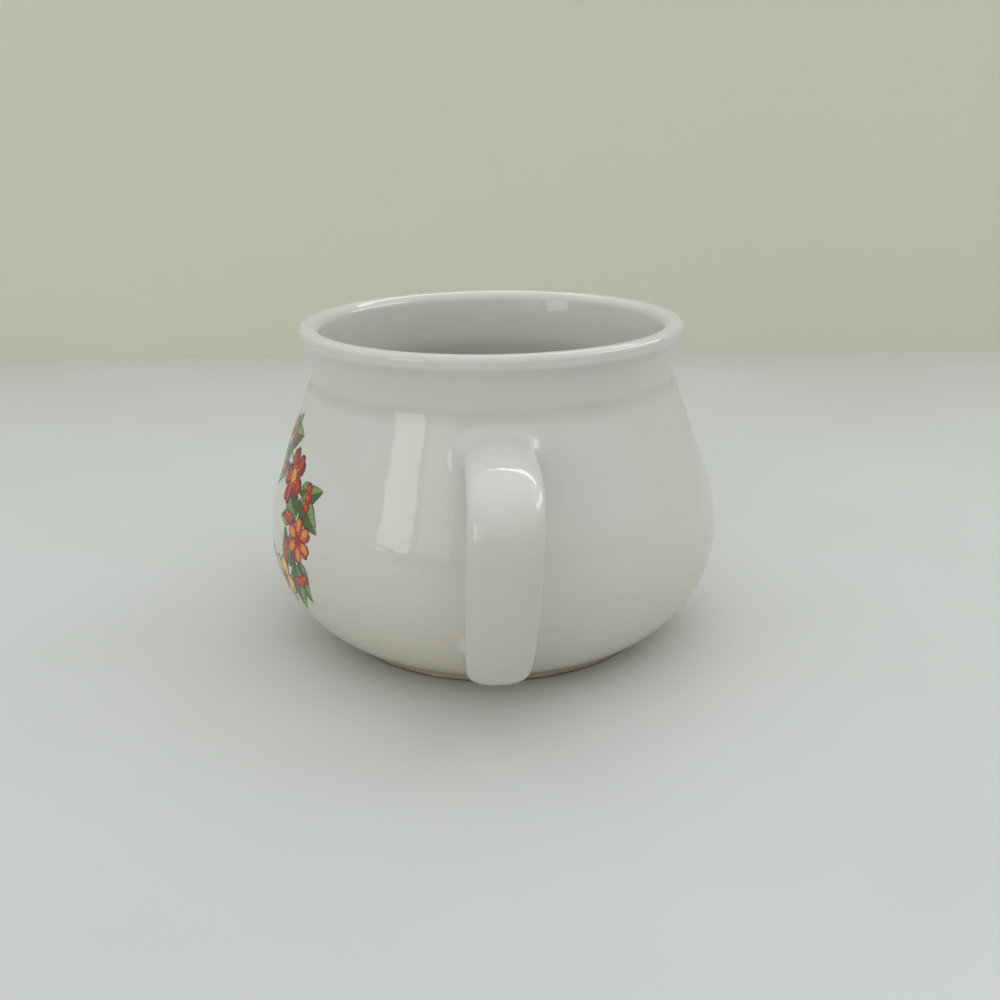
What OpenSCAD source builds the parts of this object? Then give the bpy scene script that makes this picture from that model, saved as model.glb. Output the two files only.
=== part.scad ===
// Soup mug: a round-bellied glazed pot with a necked rim, and a strap handle luted to its side.
// Millimetres, +Z up. The origin is the centre of the foot ring on the surface that it stands on.
// The handle points along +X and the printed front faces -Y.

/* [Pot] */
// Height over the lip
mug_h = 84.6; // [82:0.1:92]
// Outer radius of the lip
rim_r = 50.3; // [50:0.1:54]
// Thickness of the rolled lip
lip_t = 5.5; // [4.8:0.1:5.8]
// Rounding of the lip's top towards the outside
lip_edge_r = 1.7; // [1.3:0.1:2.2]
// Rounding of the lip's top towards the inside
lip_in_r = 3; // [2.2:0.1:3.6]
// Rounding under the lip's outer band
lip_low_r = 2.2; // [1.6:0.1:2.6]
// Height of the upright band round the outside of the lip
lip_band_h = 1; // [0.5:0.1:3]
// Outer radius at the narrowest part of the neck
neck_r = 48; // [46:0.1:48.6]
// Height of the narrowest part of the neck
neck_z = 71.5; // [69:0.5:74]
// Radius of the hollow curve between neck and shoulder
neck_curve_r = 6; // [5:0.5:12]
// Outer radius of the belly
belly_r = 60.5; // [58:0.5:64]
// Height of the widest part of the belly
belly_z = 29; // [26:0.5:32]
// Radius of the belly's curve above its widest part
upper_belly_r = 43; // [32:0.5:44]
// Wall thickness
wall_t = 4; // [3.5:0.1:4.8]
// Thickness of the floor
floor_t = 3.6; // [3:0.1:5]

/* [Foot] */
// Outer radius of the foot ring
foot_r = 42.6; // [39:0.1:44]
// Height of the foot ring's upright edge
foot_edge_h = 0.5; // [0.5:0.1:2]
// Width of the foot ring where it stands
foot_w = 3.6; // [2.5:0.1:5]
// Depth of the hollow inside the foot ring
foot_recess = 1.9; // [1:0.1:2.2]
// Radius of the hollow curve between foot and belly
foot_fillet_r = 2; // [1.6:0.1:4]
// Bevel of the foot ring's two lower edges
foot_bevel = 0.4; // [0.2:0.1:0.4]

/* [Handle] */
// Clear width between the belly and the strap, for the fingers
finger_gap = 16.5; // [14:0.5:26]
// Height of the middle of the upper root
root_top_z = 61; // [58:0.5:63]
// Height of the middle of the lower root
root_low_z = 16; // [14:0.5:20]
// Width of the strap at the upper root
strap_w = 16.6; // [13:0.2:22]
// Width of the strap at the lower root
strap_low_w = 13; // [12:0.2:20]
// Sideways sway of the strap between its bend and its lower root
strap_sway = 1.2; // [0:0.1:2]
// Thickness of the strap at its two roots
root_t = 8.4; // [6.5:0.1:10]
// Thickness of the strap halfway down
grip_t = 7; // [5.5:0.1:9]
// Squareness of the strap's section, where 2 is an ellipse
strap_squareness = 2.5; // [2:0.1:3.5]

/* [Luting slip] */
// Thickness of the slip between the wall and the end of the strap
slip_t = 0.5; // [0.3:0.1:1]
// Reach of the smoothed slip round each root
slip_fillet_r = 3.6; // [2:0.1:5]
// Thickness of the slip at its feathered edge
slip_edge_t = 0.25; // [0.2:0.05:0.5]

/* [Print] */
// Half the width of the printed wreath's middle line, measured round the belly
wreath_half_w = 36.5; // [28:0.5:38]
// Half the height of the wreath's middle line
wreath_half_h = 19; // [16:0.5:20]
// Height of the middle of the wreath
wreath_z = 36; // [34:0.5:38]
// Radius of the four large blossoms
large_blossom_r = 7.2; // [5:0.1:7.6]
// Radius of the four small blossoms
small_blossom_r = 6; // [4:0.1:6.4]
// Length of a leaf
leaf_len = 13.4; // [12:0.2:15]
// Width of a leaf
leaf_w = 6.4; // [4.4:0.2:6.8]
// Thickness of the fired enamel
print_t = 0.12; // [0.1:0.02:0.2]

/* [Hidden] */
$fn = 256;

// Overrun of every cut past the surface that it goes through
cut_over = 1;
// How far two curves that touch run into each other, so that they meet in a crossing
blend_slack = 0.01;
// Finest step of the radii that are worked out from other sizes
radius_step = 0.001;
// Largest share of the room under the neck that the belly's upper curve takes
shoulder_share = 0.9;

// Centres of the three roundings of the lip: over its edge, inside its crest and under its band
lip_edge = [rim_r - lip_edge_r, mug_h - lip_edge_r];
lip_crest = [rim_r - lip_t + lip_in_r, mug_h - lip_in_r];
lip_under = [rim_r - lip_low_r, lip_edge[1] - lip_band_h];
// Top of the floor
floor_z = foot_recess + floor_t;
// Radius of the belly's curve below its widest part, which touches the foot's hollow curve
foot_out = belly_r - foot_r;
lower_belly_exact = ((foot_out - foot_fillet_r) ^ 2 + (belly_z - foot_edge_h) ^ 2 - foot_fillet_r ^ 2) / (2 * foot_out);
lower_belly_r = round(lower_belly_exact / radius_step) * radius_step;
// Radius of the belly's curve above its widest part, which leaves room for the shoulder below the neck
neck_out = belly_r - neck_r - neck_curve_r;
shoulder_room = (neck_out ^ 2 + (neck_z - belly_z) ^ 2 - neck_curve_r ^ 2) / (2 * (neck_curve_r + neck_out));
high_belly_r = min(upper_belly_r, round(shoulder_share * shoulder_room / radius_step) * radius_step);
// Distance from the pot's axis to the outside of the handle
handle_reach = belly_r + finger_gap + grip_t;

// Strap: rings along its length and points round each of its sections
strap_rings = 48;
section_points = 32;
// Slip collar: rings along its hollow curve
slip_rings = 7;
// How far along the strap the collar's search for the wall reaches, inwards and outwards, as shares of its length
search_in_share = -0.06;
search_out_share = 0.14;
halvings = 14;
// Share of the strap's rings that its collar can reach
near_share = 0.25;
// How deep the collar's hidden part lies inside the strap, as a share of the strap's thickness
collar_sink_share = 0.15;
// Blossoms round the wreath, and the lean of each leaf from the line between two of them
blossoms = 8;
leaf_lean = 22;
// How far a leaf's middle lies from the middle between two blossoms, as a share of the leaf's length
leaf_shift_share = 0.3;
// How far the strap's bare form runs into the wall before it is cut to the wall's shape, as a share of the wall
root_sink_share = 0.9;
// Places of the curve that the strap's middle follows, as shares of its reach and of its drop
rise_share = 0.035;
droop_share = 0.04;
top_pull_share = 0.78;
side_z_share = 0.66;
top_drop_share = 0.02;
side_pull_share = 0.66;
low_pull_share = 0.24;
// Sideways sway of the strap's middle from the upper root to its side, and from there to the lower root
sway_top_shares = [0, 1, 1, 0.3];
sway_low_shares = [0.3, -0.4, -1.1, -1.2];

// Radius of the arc that runs from the neck up to one of the lip's roundings, outside (side 1) or inside (side -1)
function flare_r(narrow_r, centre, round_r, side) =
    let (
        r = round_r - blend_slack,
        exact = ((narrow_r - centre[0]) ^ 2 + (centre[1] - neck_z) ^ 2 - r ^ 2) / (2 * (centre[0] + side * r - narrow_r))
    )
    round(exact / radius_step) * radius_step;
function out_flare_r() = flare_r(neck_r, lip_under, lip_low_r, 1);
function in_flare_r() = flare_r(neck_r - wall_t, lip_crest, lip_in_r, -1);
// Height at which the inside of the neck runs into the crest's rounding
function mouth_touch_z() =
    lip_crest[1] + lip_in_r * (lip_crest[1] - neck_z) / (in_flare_r() - lip_in_r + blend_slack);

// Middle of a belly arc that touches the widest part
function belly_x(arc_r) = belly_r - arc_r;

// Lean of the straight shoulder that touches both the upper belly's arc and the neck's hollow curve
function shoulder_lean() =
    let (run = neck_r + neck_curve_r - belly_x(high_belly_r), rise = neck_z - belly_z)
    atan2(rise, run) - acos((high_belly_r + neck_curve_r) / norm([run, rise]));

// Ends of the shoulder's straight side, on a wall that is drawn in by the given inset
function shoulder_low(inset) =
    let (r = high_belly_r - inset, lean = shoulder_lean())
    [belly_x(high_belly_r) + r * cos(lean), belly_z + r * sin(lean)];
function shoulder_high(inset) =
    let (r = neck_curve_r + inset, lean = shoulder_lean())
    [neck_r + neck_curve_r - r * cos(lean), neck_z - r * sin(lean)];

// Outer radius of the pot at a height between the foot and the neck
function pot_r(z) =
    let (low = shoulder_low(0), high = shoulder_high(0))
    z < belly_z ? belly_x(lower_belly_r) + sqrt(lower_belly_r ^ 2 - (belly_z - z) ^ 2)
    : z < low[1] ? belly_x(high_belly_r) + sqrt(high_belly_r ^ 2 - (z - belly_z) ^ 2)
    : z < high[1] ? low[0] + (high[0] - low[0]) * (z - low[1]) / (high[1] - low[1])
    : neck_r + neck_curve_r - sqrt(neck_curve_r ^ 2 - (neck_z - z) ^ 2);

// The half plane right of the axis, between two heights
module slab(low_z, high_z) {
    slab_to(belly_r + cut_over, low_z, high_z);
}

// The same, out to a radius. Where that radius isn't above zero there is none.
module slab_to(out_r, low_z, high_z) {
    if (out_r > 0) translate([0, low_z]) square([out_r, high_z - low_z]);
}

module disc(centre, radius) {
    translate(centre) circle(radius);
}

// Everything inside the pot's side, from a start height up to the neck's narrowest part, drawn in by an inset.
// The inset is 0 for the outside and wall_t for the inside, and negative for a skin that lies on the pot.
module side_half(start_z, inset) {
    lower = [belly_x(lower_belly_r), belly_z];
    upper = [belly_x(high_belly_r), belly_z];
    hollow = [neck_r + neck_curve_r, neck_z];
    low = shoulder_low(inset + blend_slack);
    high = shoulder_high(inset - blend_slack);
    intersection() {
        union() {
            disc(lower, lower_belly_r - inset);
            slab_to(lower[0], belly_z - lower_belly_r + inset, belly_z);
        }
        slab(start_z, belly_z);
    }
    intersection() {
        union() {
            disc(upper, high_belly_r - inset);
            slab_to(upper[0], belly_z, belly_z + high_belly_r - inset);
        }
        slab(belly_z, (low[1] + high[1]) / 2);
    }
    difference() {
        polygon([[0, low[1]], low, high, hollow, [0, neck_z]]);
        disc(hollow, neck_curve_r + inset);
    }
}

// The outside of the neck's flare, with the lip's band and crest
module rim_half() {
    flare = [neck_r + out_flare_r(), neck_z];
    band_x = rim_r - blend_slack;
    top_z = mug_h - blend_slack;
    difference() {
        polygon([
            [0, neck_z], flare, lip_under, [band_x, lip_under[1]], [band_x, lip_edge[1]], lip_edge,
            [lip_edge[0], top_z], [lip_crest[0], top_z], [lip_crest[0], mouth_touch_z()], [0, mouth_touch_z()]
        ]);
        disc(flare, out_flare_r());
    }
    disc(lip_under, lip_low_r);
    disc(lip_edge, lip_edge_r);
    disc(lip_crest, lip_in_r);
}

// The space inside the neck and above it, up to the crest
module mouth_half() {
    difference() {
        translate([0, neck_z]) square([lip_crest[0], mug_h + cut_over - neck_z]);
        intersection() {
            disc([neck_r - wall_t + in_flare_r(), neck_z], in_flare_r());
            slab(neck_z, mouth_touch_z());
        }
        disc(lip_crest, lip_in_r);
    }
}

// The foot ring's outside and the hollow curve that runs from it up into the belly
module foot_half() {
    belly = [belly_x(lower_belly_r), belly_z];
    reach = lower_belly_r - blend_slack + foot_fillet_r;
    curve_x = foot_r + foot_fillet_r;
    curve = [curve_x, belly_z - sqrt(reach ^ 2 - (curve_x - belly[0]) ^ 2)];
    polygon([
        [0, 0], [foot_r - foot_bevel, 0], [foot_r, foot_bevel],
        [foot_r, curve[1]], [0, curve[1]]
    ]);
    difference() {
        intersection() {
            polygon([[0, curve[1]], curve, belly, [0, belly_z]]);
            slab(curve[1], belly_z);
        }
        disc(curve, foot_fillet_r);
    }
}

// The hollow inside the foot ring
module recess_half() {
    ring_in = foot_r - foot_w;
    polygon([
        [0, -cut_over], [ring_in + foot_bevel + cut_over, -cut_over],
        [ring_in, foot_bevel], [ring_in - foot_recess / 2, foot_recess], [0, foot_recess]
    ]);
}

// The pot as a solid block, from the foot to the neck, swollen outwards by a skin above the foot
module pot_block(skin) {
    rotate_extrude() {
        foot_half();
        side_half(foot_bevel, -skin);
    }
}

// A skin of the given thickness that lies on the pot's side
module pot_skin(skin) {
    rotate_extrude() difference() {
        side_half(foot_edge_h + 2 * foot_fillet_r, -skin);
        side_half(foot_edge_h + foot_fillet_r, 0);
    }
}

module body() {
    color("white") rotate_extrude() difference() {
        union() {
            foot_half();
            side_half(foot_bevel, 0);
            rim_half();
        }
        union() {
            side_half(floor_z, wall_t);
            mouth_half();
        }
        recess_half();
    }
}

// One point of a cubic Bezier curve
function bezier(p, t) =
    p[0] * (1 - t) ^ 3 + 3 * p[1] * t * (1 - t) ^ 2 + 3 * p[2] * t ^ 2 * (1 - t) + p[3] * t ^ 3;
function bezier_way(p, t) =
    (p[1] - p[0]) * (1 - t) ^ 2 + 2 * (p[2] - p[1]) * t * (1 - t) + (p[3] - p[2]) * t ^ 2;

// The middle of the strap, as seen from its side: one curve from the upper root to the outermost point, one back to the lower
strap_x = handle_reach - grip_t / 2;
strap_drop = root_top_z - root_low_z;
side_z = root_low_z + side_z_share * strap_drop;
root_sink = wall_t * root_sink_share;
top_root = [pot_r(root_top_z) - root_sink, root_top_z];
low_root = [pot_r(root_low_z) - root_sink, root_low_z];
top_curve = [
    top_root,
    [top_root[0] + top_pull_share * (strap_x - top_root[0]), root_top_z + rise_share * handle_reach],
    [strap_x, root_top_z - top_drop_share * strap_drop],
    [strap_x, side_z]
];
low_curve = [
    [strap_x, side_z],
    [strap_x, side_z - side_pull_share * (side_z - root_low_z)],
    [low_root[0] + (1 - low_pull_share) * (strap_x - low_root[0]), root_low_z - droop_share * handle_reach],
    low_root
];

// A place along the strap runs from 0 at the upper root to 1 at the lower
function strap_at(s) = s < 0.5 ? bezier(top_curve, 2 * s) : bezier(low_curve, 2 * s - 1);
function strap_way(s) =
    let (way = s < 0.5 ? bezier_way(top_curve, 2 * s) : bezier_way(low_curve, 2 * s - 1))
    way / norm(way);
// How far the strap's middle has swayed to one side there
function sway_at(s) =
    strap_sway * (s < 0.5 ? bezier(sway_top_shares, 2 * s) : bezier(sway_low_shares, 2 * s - 1));
// The section's half width and half thickness there
function half_w(s) = (strap_w + (strap_low_w - strap_w) * s ^ 3) / 2;
function half_t(s) = (grip_t + (root_t - grip_t) * (1 - 2 * s) ^ 2) / 2;

function sign_power(v, e) = sign(v) * abs(v) ^ e;

// One point of the section at s, with the section grown outwards by a margin all round
function strap_point(s, margin, i) =
    let (
        c = strap_at(s),
        way = strap_way(s),
        turn = 360 * i / section_points,
        out = (half_t(s) + margin) * sign_power(cos(turn), 2 / strap_squareness),
        side = (half_w(s) + margin) * sign_power(sin(turn), 2 / strap_squareness)
    )
    [c[0] - way[1] * out, sway_at(s) + side, c[1] + way[0] * out];
function section(s, margin) = [for (i = [0 : section_points - 1]) strap_point(s, margin, i)];

// A closed tube through rings that all have the same count of points
module skin_rings(rings) {
    n = len(rings[0]);
    last = len(rings) - 1;
    polyhedron(
        points = [for (ring = rings) each ring],
        faces = [
            [for (i = [n - 1 : -1 : 0]) i],
            [for (i = [0 : n - 1]) last * n + i],
            for (k = [0 : last - 1], i = [0 : n - 1]) let (j = (i + 1) % n) each [
                [k * n + i, k * n + j, (k + 1) * n + i],
                [(k + 1) * n + i, k * n + j, (k + 1) * n + j]
            ]
        ]
    );
}

// The strap from one ring to another, with its ends cut to the wall and its layer of slip
module strap_part(first, last) {
    difference() {
        skin_rings([for (k = [first : last]) section(k / strap_rings, 0)]);
        pot_block(slip_t);
    }
}

module handle() {
    color("white") strap_part(0, strap_rings);
}

// How far a point stands out from the pot's wall
function wall_gap(p) = norm([p[0], p[1]]) - pot_r(p[2]);
// The place where one line along the strap comes out of the wall, found by halving
function wall_place(i, margin, inside, outside, steps) =
    let (middle = (inside + outside) / 2)
    steps == 0 ? middle
    : wall_gap(strap_point(middle, margin, i)) < 0 ? wall_place(i, margin, middle, outside, steps - 1)
    : wall_place(i, margin, inside, middle, steps - 1);

// The smoothed collar of slip at one root. Each line round it leaves the wall flat and ends flat on the strap.
module slip_form(from_top) {
    root = from_top ? 0 : 1;
    out = from_top ? 1 : -1;
    pull = from_top ? norm(top_curve[1] - top_curve[0]) : norm(low_curve[3] - low_curve[2]);
    per_length = out / (6 * pull);
    deep = root + out * search_in_share;
    far = root + out * search_out_share;
    sunk = -collar_sink_share * root_t;
    at_wall = [for (i = [0 : section_points - 1])
        wall_place(i, slip_fillet_r, deep, far, halvings) + per_length * slip_edge_t];
    at_strap = [for (i = [0 : section_points - 1])
        wall_place(i, slip_edge_t, deep, far, halvings) + per_length * slip_edge_t];
    last = from_top ? max(at_strap) : min(at_strap);
    rings = [
        section(deep, slip_fillet_r),
        for (k = [0 : slip_rings]) let (share = k / slip_rings) [for (i = [0 : section_points - 1])
            strap_point(at_wall[i], slip_fillet_r, i) * (1 - share) ^ 2
            + strap_point(at_strap[i], slip_edge_t, i) * 2 * share * (1 - share)
            + strap_point(at_strap[i] + per_length * slip_fillet_r, slip_edge_t, i) * share ^ 2],
        [for (i = [0 : section_points - 1]) strap_point(at_strap[i] + per_length * slip_fillet_r, sunk, i)],
        section(last + per_length * (slip_fillet_r + slip_edge_t), sunk)
    ];
    skin_rings(from_top ? rings : [for (k = [len(rings) - 1 : -1 : 0]) rings[k]]);
}

module slip_joint(from_top) {
    near_rings = strap_rings * near_share;
    color("white") difference() {
        slip_form(from_top);
        pot_block(0);
        strap_part(from_top ? 0 : strap_rings - near_rings, from_top ? near_rings : strap_rings);
    }
}

// A place on the wreath's middle line: how far round the belly, and how high
function wreath_at(turn) = [wreath_half_w * cos(turn), wreath_z + wreath_half_h * sin(turn)];

// Sends a flat shape out through the front of the belly, round to its place and turned
module on_front(place, turn) {
    rotate(place[0] / belly_r * 180 / PI) translate([0, 0, place[1]]) rotate([90, 0, 0]) rotate(turn)
        linear_extrude(belly_r + cut_over) children();
}

// A pointed leaf, drawn with two arcs
module leaf_shape() {
    arc_r = (leaf_len ^ 2 + leaf_w ^ 2) / (4 * leaf_w);
    intersection_for(side = [-1, 1]) disc([0, side * (arc_r - leaf_w / 2)], arc_r);
}

// The fired transfer on the front: a wreath of blossoms and leaves, a skin of enamel that follows the belly
module transfer_print() {
    step = 360 / blossoms;
    color("firebrick") intersection() {
        pot_skin(print_t);
        for (k = [0 : blossoms - 1]) {
            here = wreath_at(k * step);
            next = wreath_at((k + 1) * step);
            way = (next - here) / norm(next - here);
            middle = (here + next) / 2;
            along = atan2(way[1], way[0]);
            on_front(here, 0) circle(k % 2 == 0 ? small_blossom_r : large_blossom_r);
            on_front(middle - way * leaf_len * leaf_shift_share, along - leaf_lean) leaf_shape();
            on_front(middle + way * leaf_len * leaf_shift_share, along - leaf_lean) leaf_shape();
        }
    }
}

body();
handle();
slip_joint(true);  // upper_slip_joint
slip_joint(false);  // lower_slip_joint
transfer_print();
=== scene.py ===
import math

import bpy
import numpy as np
from mathutils import Matrix, Quaternion, Vector


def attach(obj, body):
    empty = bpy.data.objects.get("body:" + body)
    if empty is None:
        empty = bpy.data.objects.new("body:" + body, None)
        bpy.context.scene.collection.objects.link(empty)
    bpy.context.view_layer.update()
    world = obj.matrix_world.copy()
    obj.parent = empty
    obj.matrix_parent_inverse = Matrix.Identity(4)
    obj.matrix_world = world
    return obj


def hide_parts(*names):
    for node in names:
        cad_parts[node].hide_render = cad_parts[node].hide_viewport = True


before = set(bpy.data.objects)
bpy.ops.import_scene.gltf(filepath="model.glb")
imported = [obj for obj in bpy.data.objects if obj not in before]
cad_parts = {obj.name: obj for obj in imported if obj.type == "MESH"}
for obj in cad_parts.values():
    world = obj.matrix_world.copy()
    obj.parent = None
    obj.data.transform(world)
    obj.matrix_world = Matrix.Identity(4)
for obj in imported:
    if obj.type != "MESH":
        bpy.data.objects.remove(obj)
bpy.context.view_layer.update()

MM = 0.001


def put(tree, kind, inputs=None, **settings):
    """A node with its settings. Each input is a constant or another node's socket."""
    node = tree.nodes.new(kind)
    for key, value in settings.items():
        setattr(node, key, value)
    for key, value in (inputs or {}).items():
        if isinstance(value, bpy.types.NodeSocket):
            tree.links.new(value, node.inputs[key])
        else:
            node.inputs[key].default_value = value
    return node


# ---------------------------------------------------------------- outlines
# All sizes are in millimetres until a mesh is made.

def arc(centre, radius, start, stop, steps):
    """Points on an arc, from start to stop in degrees, both ends included."""
    turns = np.radians(np.linspace(start, stop, steps + 1))
    return [(centre[0] + radius * math.cos(t), centre[1] + radius * math.sin(t)) for t in turns]


def line(first, last, steps):
    """Points on a straight line, both ends included."""
    return [tuple(np.array(first) + (np.array(last) - np.array(first)) * k / steps) for k in range(steps + 1)]


def joined(*runs):
    """One outline from several runs, with no point twice."""
    points = []
    for run in runs:
        for p in run:
            if not points or math.dist(p, points[-1]) > 1e-3:
                points.append(tuple(float(v) for v in p))
    return points


# Sizes of the pot in mm, as the solids have them
RIM_R = 50.3
MUG_H = 84.6
LIP_T = 5.5
LIP_EDGE_R = 1.7
LIP_IN_R = 3.0
LIP_LOW_R = 2.2
LIP_BAND = 1.0
NECK_R = 48.0
NECK_Z = 71.5
NECK_CURVE_R = 6.0
BELLY_R = 60.5
BELLY_Z = 29.0
UPPER_R = 43.0
WALL_T = 4.0
FLOOR_Z = 5.5
FOOT_R = 42.6
FOOT_W = 3.6
FOOT_EDGE = 0.5
FOOT_CURVE_R = 2.0
RECESS_Z = 1.9
RECESS_RUN = 1.4
RECESS_CURVE_R = 0.5
ROUNDED = 0.4

AROUND_POT = 256
ON_AXIS = 1e-6


def angle(centre, point):
    """Direction from a centre to a point, in degrees."""
    return math.degrees(math.atan2(point[1] - centre[1], point[0] - centre[0]))


def shoulder(inset):
    """The shoulder's lean in degrees and its ends, low on the belly's arc and high on the neck's curve."""
    belly_x = BELLY_R - UPPER_R
    neck_x = NECK_R + NECK_CURVE_R
    run, rise = neck_x - belly_x, NECK_Z - BELLY_Z
    between = math.acos((UPPER_R + NECK_CURVE_R) / math.hypot(run, rise))
    lean = math.degrees(math.atan2(rise, run) - between)
    c, s = math.cos(math.radians(lean)), math.sin(math.radians(lean))
    belly_arc, neck_arc = UPPER_R - inset, NECK_CURVE_R + inset
    low = (belly_x + belly_arc * c, BELLY_Z + belly_arc * s)
    high = (neck_x - neck_arc * c, NECK_Z - neck_arc * s)
    return lean, low, high


def flare_centre(narrow, bead, bead_r, side):
    """Middle and radius of the arc from the neck to a rounding of the lip, outside (1) or inside (-1)."""
    across, rise = bead[0] - narrow, bead[1] - NECK_Z
    r = (across**2 + rise**2 - bead_r**2) / (2 * (across + side * bead_r))
    return (narrow + r, NECK_Z), r


def lower_belly():
    """Radius and middle of the belly's arc below its widest part, which touches the foot's hollow curve."""
    out = BELLY_R - FOOT_R
    rise = BELLY_Z - FOOT_EDGE
    r = ((out - FOOT_CURVE_R) ** 2 + rise**2 - FOOT_CURVE_R**2) / (2 * out)
    return r, (BELLY_R - r, BELLY_Z)


def pot_outside():
    """The outside of the pot from the foot ring over the lip's edge, in mm as (radius, height)."""
    low_r, low_c = lower_belly()
    curve = (FOOT_R + FOOT_CURVE_R, FOOT_EDGE)
    lean, low, high = shoulder(0)
    neck = (NECK_R + NECK_CURVE_R, NECK_Z)
    edge = (RIM_R - LIP_EDGE_R, MUG_H - LIP_EDGE_R)
    under = (RIM_R - LIP_LOW_R, edge[1] - LIP_BAND)
    flare, flare_r = flare_centre(NECK_R, under, LIP_LOW_R, 1)
    return joined(
        arc((FOOT_R - ROUNDED, ROUNDED), ROUNDED, -90, 0, 4),
        arc(curve, FOOT_CURVE_R, 180, angle(curve, low_c), 10),
        arc(low_c, low_r, angle(low_c, curve), 0, 50),
        arc((BELLY_R - UPPER_R, BELLY_Z), UPPER_R, 0, lean, 20),
        line(low, high, 20),
        arc(neck, NECK_CURVE_R, 180 + lean, 180, 8),
        arc(flare, flare_r, 180, angle(flare, under), 10),
        arc(under, LIP_LOW_R, angle(flare, under) - 180, 0, 6),
        line((RIM_R, under[1]), (RIM_R, edge[1]), 4),
        arc(edge, LIP_EDGE_R, 0, 90, 10),
    )


def pot_inside():
    """From the lip's top down the inside to the middle of the floor."""
    low_r, low_c = lower_belly()
    lean, low, high = shoulder(WALL_T)
    neck = (NECK_R + NECK_CURVE_R, NECK_Z)
    crest = (RIM_R - LIP_T + LIP_IN_R, MUG_H - LIP_IN_R)
    flare, flare_r = flare_centre(NECK_R - WALL_T, crest, LIP_IN_R, -1)
    floor_turn = math.degrees(math.asin((FLOOR_Z - BELLY_Z) / (low_r - WALL_T)))
    floor_r = low_c[0] + (low_r - WALL_T) * math.cos(math.radians(floor_turn))
    return joined(
        [(RIM_R - LIP_EDGE_R, MUG_H)],
        arc(crest, LIP_IN_R, 90, angle(flare, crest), 12),
        arc(flare, flare_r, angle(flare, crest), 180, 14),
        arc(neck, NECK_CURVE_R + WALL_T, 180, 180 + lean, 6),
        line(high, low, 20),
        arc((BELLY_R - UPPER_R, BELLY_Z), UPPER_R - WALL_T, lean, 0, 20),
        arc(low_c, low_r - WALL_T, 0, floor_turn, 34),
        line((floor_r, FLOOR_Z), (0, FLOOR_Z), 14),
    )


def pot_underside():
    """From the middle of the hollow under the foot to the ring it stands on."""
    ring_in = FOOT_R - FOOT_W
    edge_r = RECESS_CURVE_R
    return joined(
        line((0, RECESS_Z), (ring_in - RECESS_RUN, RECESS_Z), 10),
        arc((ring_in - RECESS_RUN + 0.3, RECESS_Z - edge_r), edge_r, 90, 20, 4),
        line((ring_in - edge_r / 2, edge_r * 1.5), (ring_in, edge_r), 2),
        arc((ring_in + edge_r, edge_r), edge_r, 180, 270, 4),
        line((ring_in + edge_r, 0), (FOOT_R - ROUNDED, 0), 4),
    )


def ring_skin(count, around):
    """Faces of a closed skin: count rings of points one after another, then a point to close each end."""
    faces = []
    for i in range(count - 1):
        for j in range(around):
            k = (j + 1) % around
            here, above = i * around, (i + 1) * around
            faces.append((here + j, here + k, above + k, above + j))
    last = (count - 1) * around
    first_cap, last_cap = count * around, count * around + 1
    for j in range(around):
        k = (j + 1) % around
        faces.append((first_cap, k, j))
        faces.append((last_cap, last + j, last + k))
    return faces


def turned(name, outline, around):
    """A closed mesh from an outline turned about Z. The outline starts and ends on the axis."""
    rings = [p for p in outline if p[0] > ON_AXIS]
    turns = np.arange(around) * 2 * math.pi / around
    r = np.array([p[0] for p in rings])[:, None]
    z = np.array([p[1] for p in rings])[:, None]
    grid = np.stack([r * np.cos(turns), r * np.sin(turns), z + 0 * turns], -1).reshape(-1, 3)
    ends = [[0, 0, outline[0][1]], [0, 0, outline[-1][1]]]
    return mesh_object(name, np.vstack([grid, ends]) * MM, ring_skin(len(rings), around))


def mark(obj, name, values):
    """A number on every vertex, for the shaders to read."""
    data = obj.data.attributes.new(name, "FLOAT", "POINT").data
    data.foreach_set("value", np.asarray(values, float).ravel())


def mesh_object(name, verts, faces, smooth=True):
    """A mesh in the scene, with its place in its own points."""
    mesh = bpy.data.meshes.new(name)
    mesh.from_pydata([tuple(v) for v in verts], [], faces)
    mesh.validate()
    mesh.update()
    if smooth:
        mesh.shade_smooth()
    obj = bpy.data.objects.new(name, mesh)
    bpy.context.scene.collection.objects.link(obj)
    return obj


# ---------------------------------------------------------------- the handle

OUTSIDE = pot_outside()
WALL = np.array(OUTSIDE)
WALL_RUN = np.concatenate([[0], np.cumsum(np.hypot(*np.diff(WALL, axis=0).T))])


def wall_radius(z):
    """Radius of the pot's outside at a height."""
    return np.interp(z, WALL[:, 1], WALL[:, 0])


def on_wall(turn, run, out=0.0):
    """Points off the pot's outside by out mm, and their normals, by azimuth and length along the outline."""
    near = 0.4
    r = np.interp(run, WALL_RUN, WALL[:, 0])
    z = np.interp(run, WALL_RUN, WALL[:, 1])
    dr = np.interp(run + near, WALL_RUN, WALL[:, 0]) - np.interp(run - near, WALL_RUN, WALL[:, 0])
    dz = np.interp(run + near, WALL_RUN, WALL[:, 1]) - np.interp(run - near, WALL_RUN, WALL[:, 1])
    size = np.hypot(dr, dz)
    nr, nz = dz / size, -dr / size
    r = r + nr * out
    z = z + nz * out
    place = np.stack([r * np.cos(turn), r * np.sin(turn), z], -1)
    normal = np.stack([nr * np.cos(turn), nr * np.sin(turn), nz], -1)
    return place, normal


def bezier(points, t):
    """Places on a curve with four guide points, for t from 0 to 1."""
    p0, p1, p2, p3 = (np.array(p, float) for p in points)
    t = np.asarray(t, float)[..., None]
    u = 1 - t
    return u**3 * p0 + 3 * u**2 * t * p1 + 3 * u * t**2 * p2 + t**3 * p3


def bezier_way(points, t):
    """Directions of the same curve."""
    p0, p1, p2, p3 = (np.array(p, float) for p in points)
    t = np.asarray(t, float)[..., None]
    u = 1 - t
    return 3 * u**2 * (p1 - p0) + 6 * u * t * (p2 - p1) + 3 * t**2 * (p3 - p2)


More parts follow.
